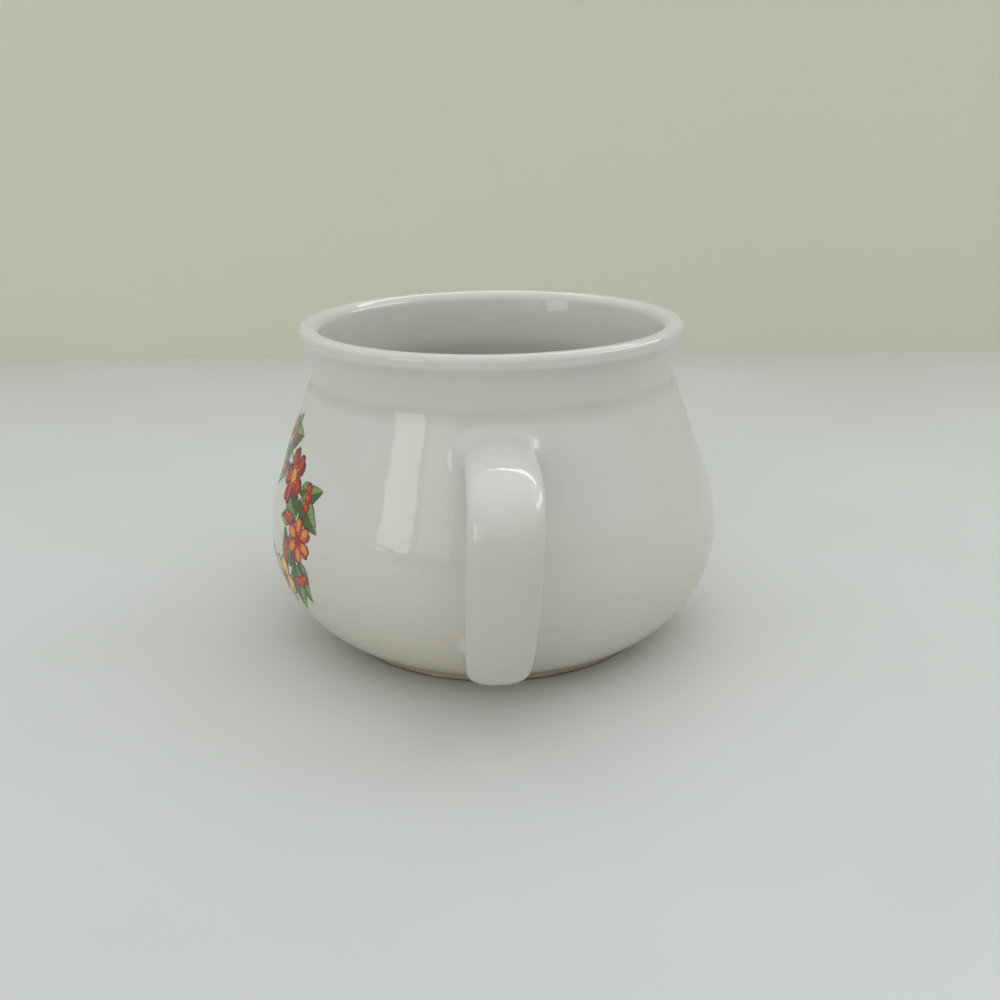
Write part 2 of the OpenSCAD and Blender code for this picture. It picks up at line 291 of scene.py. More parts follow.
# Sizes of the strap in mm, as the solids have them
FINGER_GAP = 16.5
GRIP_T = 7.0
ROOT_T = 8.4
STRAP_W = 16.6
STRAP_LOW_W = 13.0
ROOT_TOP_Z = 61.0
ROOT_LOW_Z = 16.0
ROOT_SINK = 0.9 * WALL_T
SQUARENESS = 2.5
SWAY = 1.2
SWAY_TOP = [0, 1, 1, 0.3]
SWAY_LOW = [0.3, -0.4, -1.1, -1.2]
FLARE_TOP = 4.2
FLARE_LOW = 3.4
FLARE_STEPS = 10
SUNK = 1.2
AROUND_STRAP = 72
RINGS_ON_STRAP = 130
STRAP_RUN = 190.0

# The strap's guide points, as shares of its reach, its drop and its legs
RISE_SHARE = 0.035
DROOP_SHARE = 0.04
TOP_PULL = 0.78
TOP_DROP = 0.02
SIDE_HEIGHT = 0.66
SIDE_PULL = 0.66
LOW_PULL = 0.24

REACH = BELLY_R + FINGER_GAP + GRIP_T
DROP = ROOT_TOP_Z - ROOT_LOW_Z
SIDE_X = REACH - GRIP_T / 2
SIDE_Z = ROOT_LOW_Z + SIDE_HEIGHT * DROP
TOP_X = float(wall_radius(ROOT_TOP_Z)) - ROOT_SINK
LOW_X = float(wall_radius(ROOT_LOW_Z)) - ROOT_SINK
STRAP_TOP = [
    (TOP_X, ROOT_TOP_Z),
    (TOP_X + TOP_PULL * (SIDE_X - TOP_X), ROOT_TOP_Z + RISE_SHARE * REACH),
    (SIDE_X, ROOT_TOP_Z - TOP_DROP * DROP),
    (SIDE_X, SIDE_Z),
]
STRAP_LOW = [
    (SIDE_X, SIDE_Z),
    (SIDE_X, SIDE_Z - SIDE_PULL * (SIDE_Z - ROOT_LOW_Z)),
    (SIDE_X - LOW_PULL * (SIDE_X - LOW_X), ROOT_LOW_Z - DROOP_SHARE * REACH),
    (LOW_X, ROOT_LOW_Z),
]


def strap_line(s):
    """The strap's middle as (x, z), its direction and its sway along Y, for s from 0 at the top root to 1."""
    s = np.asarray(s, float)
    upper = s < 0.5
    high = upper[..., None]
    top = np.where(upper, 2 * s, 1.0)
    low = np.where(upper, 0.0, 2 * s - 1)
    at = np.where(high, bezier(STRAP_TOP, top), bezier(STRAP_LOW, low))
    way = np.where(high, bezier_way(STRAP_TOP, top), bezier_way(STRAP_LOW, low))
    way = way / np.linalg.norm(way, axis=-1, keepdims=True)
    side_top = bezier([(v,) for v in SWAY_TOP], np.clip(top, 0, 1))[..., 0]
    side_low = bezier([(v,) for v in SWAY_LOW], np.clip(low, 0, 1))[..., 0]
    return at, way, SWAY * np.where(upper, side_top, side_low)


def strap_point(s, turn):
    """A point on the strap's skin. Turn 0 is its +Y edge and 90 degrees its outer face."""
    at, way, side = strap_line(s)
    s = np.asarray(s, float)
    half_w = (STRAP_W + (STRAP_LOW_W - STRAP_W) * np.clip(s, 0, 1) ** 3) / 2
    half_t = (GRIP_T + (ROOT_T - GRIP_T) * (1 - 2 * s) ** 2) / 2
    c, d = np.cos(turn), np.sin(turn)
    across = np.sign(c) * np.abs(c) ** (2 / SQUARENESS) * half_w
    out = np.sign(d) * np.abs(d) ** (2 / SQUARENESS) * half_t
    normal = np.stack([-way[..., 1], way[..., 0]], -1)
    x = at[..., 0] + normal[..., 0] * out
    z = at[..., 1] + normal[..., 1] * out
    return np.stack([x, side + across + 0 * x, z], -1)


def root_outline(turns, low, high):
    """For each line of the strap's skin, the s at which it meets the wall."""
    inside, outside = np.full(len(turns), low), np.full(len(turns), high)
    for _ in range(40):
        middle = (inside + outside) / 2
        p = strap_point(middle, turns)
        within = np.hypot(p[:, 0], p[:, 1]) < wall_radius(p[:, 2])
        inside = np.where(within, middle, inside)
        outside = np.where(within, outside, middle)
    return (inside + outside) / 2


def root_rings(turns, meet, towards, flare):
    """The luted flare from strap to wall: its rings, the ring sunk in the wall, its start and end normals."""
    corner = strap_point(meet, turns)
    start = meet.copy()
    for _ in range(30):
        p = strap_point(start, turns)
        gap = np.linalg.norm(p - corner, axis=1)
        start = start + np.sign(towards) * (flare - gap) / STRAP_RUN
    first = strap_point(start, turns)
    azimuth = np.arctan2(corner[:, 1], corner[:, 0])
    run = np.interp(corner[:, 2], WALL[:, 1], WALL_RUN)
    across = azimuth * np.hypot(corner[:, 0], corner[:, 1]).mean()
    flat = np.stack([across, run], -1)
    tangent = np.roll(flat, -1, 0) - np.roll(flat, 1, 0)
    tangent /= np.linalg.norm(tangent, axis=1, keepdims=True)
    out = np.stack([tangent[:, 1], -tangent[:, 0]], -1)
    if np.sum(out * (flat - flat.mean(0))) < 0:
        out = -out
    end_flat = flat + out * flare
    radius = np.hypot(corner[:, 0], corner[:, 1]).mean()
    end, end_normal = on_wall(end_flat[:, 0] / radius, end_flat[:, 1])
    sunk, _ = on_wall(end_flat[:, 0] / radius, end_flat[:, 1], -SUNK)
    along = corner - end
    along -= end_normal * np.sum(along * end_normal, axis=1, keepdims=True)
    a = first + (corner - first) * 0.6
    b = end + along * 0.6
    rings = []
    for t in np.linspace(0, 1, FLARE_STEPS + 1):
        u = 1 - t
        p = u**3 * first + 3 * u**2 * t * a + 3 * u * t**2 * b + t**3 * end
        reach = np.hypot(p[:, 0], p[:, 1])
        grow = np.maximum(wall_radius(p[:, 2]) + 0.02 * math.sin(math.pi * t), reach) / reach
        rings.append(p * np.stack([grow, grow, np.ones_like(grow)], -1))
    return rings, sunk, start, end_normal


def make_handle():
    """The strap with both luted roots as one skin, its ends a little way into the wall."""
    around = AROUND_STRAP
    turns = np.arange(around) * 2 * math.pi / around
    meet_top = root_outline(turns, -0.06, 0.14)
    meet_low = root_outline(turns, 1.06, 0.86)
    top, top_sunk, start_top, normal_top = root_rings(turns, meet_top, 1, FLARE_TOP)
    low, low_sunk, start_low, normal_low = root_rings(turns, meet_low, -1, FLARE_LOW)
    rings = [top_sunk] + top[::-1]
    for t in np.linspace(0, 1, RINGS_ON_STRAP)[1:-1]:
        rings.append(strap_point(start_top + (start_low - start_top) * t, turns))
    rings += low + [low_sunk]
    grid = np.array(rings)
    count = len(grid)
    caps = np.array([grid[0].mean(0), grid[-1].mean(0)])
    obj = mesh_object("strap_handle", np.vstack([grid.reshape(-1, 3), caps]) * MM, ring_skin(count, around))
    mesh = obj.data
    normals = np.zeros(len(mesh.vertices) * 3)
    mesh.vertex_normals.foreach_get("vector", normals)
    normals = normals.reshape(-1, 3)
    normals[around:2 * around] = normal_top
    normals[(count - 2) * around:(count - 1) * around] = normal_low
    mesh.normals_split_custom_set_from_vertices([tuple(n) for n in normals])
    # Where the glaze pools round the roots: the shader makes it rougher there and tints it with painted shade
    pool = np.sin(np.linspace(0, math.pi, FLARE_STEPS + 2)) ** 2
    ring_pool = np.zeros(count)
    ring_pool[1:1 + len(pool)] = pool
    ring_pool[count - 1 - len(pool):count - 1] = pool
    mark(obj, "pooled", np.concatenate([np.repeat(ring_pool, around), [0, 0]]))
    return obj


# ---------------------------------------------------------------- the printed wreath
# Drawn flat in mm, u along the belly and v up, and then laid round the pot.

PRINT_R = 60.5
WREATH_MIDDLE = 36
WREATH_HALF = (36.5, 19)
LARGE_R = 7.2
SMALL_R = 6.0
LEAF_LEN = 13.4
LEAF_W = 6.4
LEAF_TEETH = 7
LEAF_BEND = 0.9
BERRY_R = 1.40
BERRY_EDGE_R = 1.62
BERRY_LIGHT_R = 0.40
STEM_W = 0.55
STEM_SWAY = 0.9

# The wreath has one group of leaves between each two blossoms, on both sides of its stem.
# Leaf: degrees along the stem, lean, mm off the stem, size. Berry: degrees along, mm off the stem.
GROUPS = 8
GROUP_STEP = 45
LEAF_PLACES = ((5, 0.38, 0.8, 1.02), (1.5, 1.25, 1.8, 0.72), (9, 1.0, 1.4, 0.64))
BERRY_PLACES = ((0, 5.2), (4.0, 6.2), (-3.5, 4.0))

# How far each printed shape lies off the glaze, so that one covers the other
LIFT = {
    "stem": 0.020,
    "leaf": 0.030,
    "leaf light": 0.040,
    "vein": 0.048,
    "berry edge": 0.053,
    "berry": 0.0565,
    "berry light": 0.060,
    "outline": 0.058,
    "petals": 0.068,
    "petal light": 0.078,
    "heart": 0.090,
}


def polar(distance, turn):
    """A flat place at a distance and an angle from the middle."""
    return distance * math.cos(turn), distance * math.sin(turn)


def star_patch(name, radius_at, rings, around, centre=(0, 0)):
    """A flat patch whose edge follows radius_at. Its tone runs from 0 in the middle to 1 at the edge."""
    turns = np.arange(around) * 2 * math.pi / around
    edge = np.array([radius_at(t) for t in turns])
    verts = [(centre[0], centre[1], 0)]
    tone = [0.0]
    for i in range(1, rings + 1):
        share = i / rings
        for e, t in zip(edge, turns):
            x, y = polar(share * e, t)
            verts.append((centre[0] + x, centre[1] + y, 0))
        tone += [share] * around
    faces = [(0, 1 + j, 1 + (j + 1) % around) for j in range(around)]
    for i in range(rings - 1):
        for j in range(around):
            a = 1 + i * around + j
            b = 1 + i * around + (j + 1) % around
            faces.append((a, a + around, b + around, b))
    obj = mesh_object(name, verts, faces, smooth=False)
    mark(obj, "tone", tone)
    return obj


def strip_patch(name, middle, widths):
    """A flat strip along a line of points, with a width at each."""
    middle = np.array(middle, float)
    way = np.gradient(middle, axis=0)
    way /= np.linalg.norm(way, axis=1, keepdims=True)
    side = np.stack([-way[:, 1], way[:, 0]], -1) * np.array(widths)[:, None] / 2
    verts = [(*p, 0) for p in middle - side] + [(*p, 0) for p in middle + side]
    n = len(middle)
    faces = [(k, k + 1, n + k + 1, n + k) for k in range(n - 1)]
    obj = mesh_object(name, verts, faces, smooth=False)
    mark(obj, "tone", list(np.linspace(0, 1, n)) * 2)
    return obj


def merged(name, parts):
    """One flat mesh from several, which are used up."""
    verts, faces, tone = [], [], []
    for part in parts:
        first = len(verts)
        verts += [tuple(v.co) for v in part.data.vertices]
        faces += [tuple(first + i for i in f.vertices) for f in part.data.polygons]
        tone += [v.value for v in part.data.attributes["tone"].data]
        bpy.data.objects.remove(part)
    obj = mesh_object(name, verts, faces, smooth=False)
    mark(obj, "tone", tone)
    return obj


def petal_edge(radius, petals, notch):
    """A blossom's edge: round petals, each with a small notch in its tip."""
    roundness, notch_w = 0.55, 0.09

    def radius_at(turn):
        """Distance of the edge at an angle."""
        near = (turn * petals / (2 * math.pi)) % 1 - 0.5
        lobe = math.cos(math.pi * near) ** roundness
        tip = notch * math.exp(-((near / notch_w) ** 2))
        return radius * (0.5 + 0.5 * lobe - tip)

    return radius_at


def turned_flat(obj, turn, shift):
    """The flat shape turned and then shifted."""
    obj.data.transform(Matrix.Translation((*shift, 0)) @ Matrix.Rotation(turn, 4, "Z"))
    return obj


def blossom_motifs(name, radius, petals):
    """The flat shapes of one blossom: outline, petals, the light on each petal, folds, heart and stamens."""
    step = 2 * math.pi / petals
    around = petals * 16
    line_w = 0.5
    outline = star_patch(name + "_outline", petal_edge(radius, petals, 0.1), 6, around)
    petal = star_patch(name + "_petals", petal_edge(radius - line_w, petals, 0.11), 6, around)
    light_r, light_turn = radius * 0.17, 0.1
    lights, folds, stamens = [], [], []
    for k in range(petals):
        turn = (k + 0.5) * step + light_turn
        light = star_patch("light", lambda t: light_r * (1 + 0.75 * abs(math.cos(t)) ** 3), 2, 16)
        lights.append(turned_flat(light, turn, polar(radius * 0.6, turn)))
        fold = [polar(radius * share, k * step) for share in np.linspace(0.2, 0.6, 5)]
        folds.append(strip_patch("fold", fold, np.linspace(0.42, 0.1, 5)))
    heart = star_patch(name + "_heart", lambda t: radius * 0.23 * (1 + 0.06 * math.sin(7 * t)), 2, 28)
    stamen_r = radius * 0.035 + 0.06
    for k in range(9):
        place = polar(radius * 0.32, k * 2 * math.pi / 9 + 0.2)
        stamens.append(star_patch("stamen", lambda t: stamen_r, 1, 8, place))
    return {
        "outline": outline,
        "petals": petal,
        "lights": merged(name + "_lights", lights),
        "folds": merged(name + "_folds", folds),
        "heart": heart,
        "stamens": merged(name + "_stamens", stamens),
    }


def leaf_width(share, teeth):
    """Half the leaf's width from its stalk at 0 to its tip at 1, with a toothed edge."""
    body = math.sin(math.pi * share ** 0.8) ** 0.9
    return body * (1 + 0.1 * (1 - (share * teeth) % 1) - 0.05)


def leaf_motifs(name, length, width, teeth):
    """The flat shapes of one leaf: the whole, the light half and the veins."""
    count = teeth * 4
    shares = np.linspace(0, 1, count + 1)

    def bend_at(share):
        """How far the leaf's middle line is off a straight one."""
        return LEAF_BEND * math.sin(math.pi * share) * width / 8

    def half_at(share):
        """Half the width at a share of the length."""
        return leaf_width(share, teeth) * width / 2

    def side(low, high, label):
        """The part of the leaf between two shares of its half width."""
        verts, faces, tone = [], [], []
        for share in shares:
            for c in np.linspace(low, high, 5):
                verts.append((length * share, bend_at(share) + c * half_at(share), 0))
                tone.append(share)
        for k in range(count):
            for j in range(4):
                a = k * 5 + j
                faces.append((a, a + 5, a + 6, a + 1))
        obj = mesh_object(label, verts, faces, smooth=False)
        mark(obj, "tone", tone)
        return obj

    midrib = [(length * share, bend_at(share)) for share in shares[:-2]]
    veins = [strip_patch("vein", midrib, np.linspace(0.34, 0.12, count - 1))]
    for k in range(2, teeth):
        share = k / (teeth + 1)
        for sign in (-1, 1):
            out = sign * half_at(share + 0.12) * 0.78
            run = [(length * (share + 0.14 * w), bend_at(share) + out * w) for w in np.linspace(0, 1, 4)]
            veins.append(strip_patch("vein", run, np.linspace(0.2, 0.08, 4)))
    return {
        "whole": side(-1, 1, name + "_whole"),
        "light": side(0.08, 0.84, name + "_light"),
        "veins": merged(name + "_veins", veins),
    }


def places(name, rows):
    """Bare points, each with a turn and a size, for a motif to stand on."""
    obj = mesh_object(name, [(r[0], r[1], 0) for r in rows], [], smooth=False)
    mark(obj, "turn", [r[2] for r in rows])
    mark(obj, "size", [r[3] for r in rows])
    return obj


def on_wreath(turn, out=0.0):
    """A place on the wreath's ring, out mm off it, and the ring's direction there. Turn is in degrees."""
    t = math.radians(turn)
    half_w, half_h = WREATH_HALF
    way = math.atan2(half_h * math.cos(t), -half_w * math.sin(t))
    u = half_w * math.cos(t) + out * math.sin(way)
    v = WREATH_MIDDLE + half_h * math.sin(t) - out * math.cos(way)
    return u, v, way


def scatter_tree(layers):
    """Stands each layer's shape on its points, with a little chance in turn and size, and colours it."""
    tree = bpy.data.node_groups.new("wreath layers", "GeometryNodeTree")
    tree.interface.new_socket("Geometry", in_out="INPUT", socket_type="NodeSocketGeometry")
    for label, kind, value in (
        ("Turn chance", "NodeSocketFloat", 0.09),
        ("Size chance", "NodeSocketFloat", 0.05),
        ("Seed", "NodeSocketInt", 7),
    ):
        socket = tree.interface.new_socket(label, in_out="INPUT", socket_type=kind)
        socket.default_value = value
    tree.interface.new_socket("Geometry", in_out="OUTPUT", socket_type="NodeSocketGeometry")
    start = tree.nodes.new("NodeGroupInput")
    end = tree.nodes.new("NodeGroupOutput")
    join = tree.nodes.new("GeometryNodeJoinGeometry")
    tree.links.new(join.outputs[0], end.inputs[0])

    def chance(amount, middle):
        """A random number for each point, up to amount off the middle."""
        less = put(tree, "ShaderNodeMath", {0: amount, 1: -1.0}, operation="MULTIPLY")
        seed = start.outputs["Seed"]
        pick = put(
            tree,
            "FunctionNodeRandomValue",
            {2: less.outputs[0], 3: amount, "Seed": seed},
            data_type="FLOAT",
        )
        return put(tree, "ShaderNodeMath", {0: pick.outputs[1], 1: middle}, operation="ADD").outputs[0]

    def stored(label, other, operation):
        """The number kept on each point, with another added to it or multiplied with it."""
        read = put(tree, "GeometryNodeInputNamedAttribute", {"Name": label}, data_type="FLOAT")
        both = {0: read.outputs["Attribute"], 1: other}
        return put(tree, "ShaderNodeMath", both, operation=operation).outputs[0]

    turn = stored("turn", chance(start.outputs["Turn chance"], 0.0), "ADD")
    size = stored("size", chance(start.outputs["Size chance"], 1.0), "MULTIPLY")
    spin = put(tree, "ShaderNodeCombineXYZ", {"Z": turn}).outputs[0]
    for points, motif, colour, lift in layers:
        where = put(tree, "GeometryNodeObjectInfo", {"Object": points}).outputs["Geometry"]
        what = put(tree, "GeometryNodeObjectInfo", {"Object": motif}).outputs["Geometry"]
        stand = put(
            tree,
            "GeometryNodeInstanceOnPoints",
            {"Points": where, "Instance": what, "Rotation": spin, "Scale": size},
        ).outputs[0]
        real = put(tree, "GeometryNodeRealizeInstances", {0: stand}).outputs[0]
        raised = put(tree, "GeometryNodeSetPosition", {"Geometry": real, "Offset": (0, 0, lift)}).outputs[0]
        dyed = put(tree, "GeometryNodeSetMaterial", {"Geometry": raised, "Material": colour}).outputs[0]
        tree.links.new(dyed, join.inputs[0])
    return tree


def lay_on_pot(obj):
    """Bends a flat drawing round the pot: u round the belly, v up, and the third number off the surface."""
    flat = np.zeros(len(obj.data.vertices) * 3)
    obj.data.vertices.foreach_get("co", flat)
    flat = flat.reshape(-1, 3)
    run = np.interp(flat[:, 1], WALL[:, 1], WALL_RUN)
    place, _ = on_wall(flat[:, 0] / PRINT_R - math.pi / 2, run, flat[:, 2])
    obj.data.vertices.foreach_set("co", (place * MM).ravel())
    obj.data.update()


def make_stem():
    """The wreath's own stem, which sways from side to side."""
    runs = []
    for k in range(GROUPS):
        turns = np.linspace(k * GROUP_STEP, k * GROUP_STEP + GROUP_STEP, 36)
        run = [on_wreath(t, STEM_SWAY * math.sin(math.radians(GROUPS * t)))[:2] for t in turns]
        runs.append(strip_patch("stem", run, [STEM_W] * len(turns)))
    return merged("stem", runs)


def leaf_and_berry_places():
    """Where the leaves and berries stand, and the stalks that hold the berries."""
    leaves, berries, stalks = [], [], []
    for k in range(GROUPS):
        middle = k * GROUP_STEP + GROUP_STEP / 2
        for sign in (-1, 1):
            for along, lean, out, size in LEAF_PLACES:
                u, v, way = on_wreath(middle + sign * along, sign * out)
                leaves.append((u, v, way + (lean if sign < 0 else math.pi + lean), size))
        for sign in (-1, 1):
            for along, away in BERRY_PLACES:
                u, v, _ = on_wreath(middle + along, sign * away)
                berries.append((u, v, 0.6 * sign, 1.0 - 0.03 * abs(along)))
                root_u, root_v, _ = on_wreath(middle + along * 0.3, 0)
                bow = ((root_u + u) / 2 + 0.3, (root_v + v) / 2 + 0.2)
                stalks.append(strip_patch("stalk", [(root_u, root_v), bow, (u, v)], [0.34, 0.28, 0.22]))
    return places("leaf_spots", leaves), places("berry_spots", berries), merged("stalks", stalks)


def blossom_spots(name, turns):
    """Points for blossoms at some turns of the wreath."""
    return places(name, [(*on_wreath(t)[:2], math.radians(t * 1.7), 1.0) for t in turns])


def make_print(inks):
    """The wreath of blossoms, leaves and berries as one thin piece that follows the belly."""
    large = blossom_motifs("large_blossom", LARGE_R, 5)
    small = blossom_motifs("small_blossom", SMALL_R, 6)
    leaf = leaf_motifs("leaf", LEAF_LEN, LEAF_W, LEAF_TEETH)
    berry = {
        "edge": star_patch("berry_edge", lambda t: BERRY_EDGE_R, 3, 20),
        "whole": star_patch("berry", lambda t: BERRY_R, 3, 20),
        "light": star_patch("berry_light", lambda t: BERRY_LIGHT_R, 1, 10, (-0.4, 0.48)),
    }
    stem = make_stem()
    leaf_spots, berry_spots, stalks = leaf_and_berry_places()
    top = blossom_spots("top_blossoms", (45, 135))
    bottom = blossom_spots("bottom_blossoms", (225, 315))
    sides = blossom_spots("side_blossoms", (0, 180))
    poles = blossom_spots("pole_blossoms", (90, 270))

    layers = [
        (leaf_spots, leaf["whole"], inks["dark green"], LIFT["leaf"]),
        (leaf_spots, leaf["light"], inks["light green"], LIFT["leaf light"]),
        (leaf_spots, leaf["veins"], inks["dark green"], LIFT["vein"]),
        (berry_spots, berry["edge"], inks["outline"], LIFT["berry edge"]),
        (berry_spots, berry["whole"], inks["bright red"], LIFT["berry"]),
        (berry_spots, berry["light"], inks["pale orange"], LIFT["berry light"]),
    ]
    for spots, motif, petal_ink, light_ink, heart_ink in (
        (top, large, "dark red", "bright red", "yellow"),
        (sides, small, "orange", "pale orange", "dark red"),
        (poles, small, "orange", "pale orange", "yellow"),
        (bottom, large, "yellow", "pale yellow", "dark red"),
    ):
        layers += [
            (spots, motif["outline"], inks["outline"], LIFT["outline"]),
            (spots, motif["petals"], inks[petal_ink], LIFT["petals"]),
            (spots, motif["lights"], inks[light_ink], LIFT["petal light"]),
            (spots, motif["folds"], inks["outline"], LIFT["petal light"]),
            (spots, motif["heart"], inks[heart_ink], LIFT["heart"]),
            (spots, motif["stamens"], inks[heart_ink], LIFT["heart"]),
        ]

    carrier = mesh_object("carrier", [(0, 0, 0)], [], smooth=False)
    spread = carrier.modifiers.new("wreath layers", "NODES")
    spread.node_group = scatter_tree(layers)
    seen = bpy.context.evaluated_depsgraph_get()
    mesh = bpy.data.meshes.new_from_object(carrier.evaluated_get(seen))
    carrier.modifiers.remove(spread)
    wreath = bpy.data.objects.new("wreath_print", mesh)
    bpy.context.scene.collection.objects.link(wreath)
    for obj in (stem, stalks):
        obj.data.transform(Matrix.Translation((0, 0, LIFT["stem"])))
        obj.data.materials.append(inks["dark green"])
    parts = (wreath, stem, stalks)
    bpy.ops.object.select_all(action="DESELECT")
    for obj in parts:
        lay_on_pot(obj)
        obj.select_set(True)
    bpy.context.view_layer.objects.active = wreath
    bpy.ops.object.join()
    for kind in (large, small, leaf, berry):
        for obj in kind.values():
            bpy.data.objects.remove(obj)
    for obj in (carrier, top, bottom, sides, poles, leaf_spots, berry_spots):
        bpy.data.objects.remove(obj)
    wreath.data.shade_smooth()
    return wreath


# ---------------------------------------------------------------- shaders

def group(name, takes, gives):
    """A shader node group with named sockets. Takes and gives are rows of (label, kind, value)."""
    tree = bpy.data.node_groups.new(name, "ShaderNodeTree")
    for label, kind, value in takes:
        socket = tree.interface.new_socket(label, in_out="INPUT", socket_type="NodeSocket" + kind)
        if value is not None:
            socket.default_value = value
    for label, kind in gives:
        tree.interface.new_socket(label, in_out="OUTPUT", socket_type="NodeSocket" + kind)
    return tree, tree.nodes.new("NodeGroupInput"), tree.nodes.new("NodeGroupOutput")


def ramp(tree, value, low, high, to_low=0.0, to_high=1.0):
    """A smooth step from one value to another while the first value runs from low to high."""
    ends = {"Value": value, "From Min": low, "From Max": high, "To Min": to_low, "To Max": to_high}
    return put(tree, "ShaderNodeMapRange", ends, interpolation_type="SMOOTHSTEP").outputs["Result"]


def maths(tree, operation, first, second):
    """One operation on two values."""
    return put(tree, "ShaderNodeMath", {0: first, 1: second}, operation=operation).outputs[0]


def product(tree, *values):
    """All the values multiplied."""
    result = values[0]
    for value in values[1:]:
        result = maths(tree, "MULTIPLY", result, value)
    return result


def blend(tree, share, first, second):
    """The first colour at share 0 and the second at share 1."""
    mix = put(tree, "ShaderNodeMix", {"Factor": share}, data_type="RGBA", blend_type="MIX")
    for index, value in ((6, first), (7, second)):
        if isinstance(value, bpy.types.NodeSocket):
            tree.links.new(value, mix.inputs[index])
        else:
            mix.inputs[index].default_value = (*value, 1)
    return mix.outputs[2]


def noise(tree, place, scale, detail=3.0, rough=0.5):
    """A cloudy value between 0 and 1."""
    looks = {"Vector": place, "Scale": scale, "Detail": detail, "Roughness": rough}
    return put(tree, "ShaderNodeTexNoise", looks).outputs["Fac"]


def bump(tree, height, strength, distance, over=None):
    """The normal of a height, laid over another normal."""
    takes = {"Height": height, "Strength": strength, "Distance": distance}
    if over is not None:
        takes["Normal"] = over
    return put(tree, "ShaderNodeBump", takes).outputs[0]


# Tones of the ware, and of the light and shade painted on it
WHITE_GLAZE = (0.67, 0.668, 0.63)
CREAM_DRIFT = (0.665, 0.638, 0.592)
COOL_CLOUD = (0.655, 0.68, 0.672)
THIN_LIP = (0.64, 0.61, 0.55)
# Painted warm bounce light, low on the pot
PAINTED_WARM_BOUNCE = (0.63, 0.60, 0.50)
# Painted shade in the hollow just above the foot ring
FOOT_SHADE = (0.36, 0.32, 0.235)
# Painted shade in the crease of the neck and under the lip
CREASE_AND_LIP_SHADE = (0.52, 0.525, 0.465)
# Painted shade on the strap's outer face
STRAP_FACE_SHADE = (0.585, 0.57, 0.495)
# Painted warm shade and reflection low inside the pot
INSIDE_WARM_SHADE = (0.60, 0.56, 0.47)
# Glaze pooled round the roots, tinted darker as painted shade in the joint
ROOT_POOL_SHADE = (0.60, 0.64, 0.62)
IRON_SPECK = (0.22, 0.16, 0.10)
SCRATCH = (0.34, 0.34, 0.34)
BISCUIT = (0.20, 0.155, 0.10)
PALE_BISCUIT = (0.30, 0.245, 0.175)
GLAZE_IN_GAPS = (0.78, 0.72, 0.62)
GLAZE_GLOSS = 0.06
GLAZE_IOR = 1.52
INK_IOR = 1.5

# Heights in metres between which the glaze or its painted shade changes, as (from, to)
BARE_HEIGHT = 0.0007
THIN_AT_LIP = (0.0834, 0.0846)
WARMER_DOWN = (0.052, 0.002)
SHADED_FOOT = (0.0046, 0.0012)
CREASE = ((0.0672, 0.0700), (0.0732, 0.0706))
UNDER_LIP = ((0.0780, 0.0806), (0.0818, 0.0810))
STRAP_SHADE_OUT = (0.066, 0.080)
STRAP_SHADE_DOWN = (0.064, 0.046)
SHADED_INSIDE = (0.080, 0.050)
SPOONED_INSIDE = (0.030, 0.006)

# Printed colours, in the middle of a shape and at its edge
PRINT_COLOURS = (
    ("outline", (0.050, 0.006, 0.006), (0.040, 0.005, 0.005)),
    ("dark red", (0.38, 0.009, 0.010), (0.20, 0.004, 0.005)),
    ("bright red", (0.55, 0.026, 0.018), (0.44, 0.013, 0.011)),
    ("orange", (0.66, 0.11, 0.012), (0.50, 0.035, 0.008)),
    ("pale orange", (0.80, 0.30, 0.04), (0.70, 0.18, 0.02)),
    ("yellow", (0.62, 0.30, 0.02), (0.74, 0.40, 0.05)),
    ("pale yellow", (0.85, 0.62, 0.20), (0.80, 0.52, 0.12)),
    ("dark green", (0.055, 0.095, 0.028), (0.075, 0.13, 0.035)),
    ("light green", (0.16, 0.26, 0.08), (0.26, 0.36, 0.15)),
)


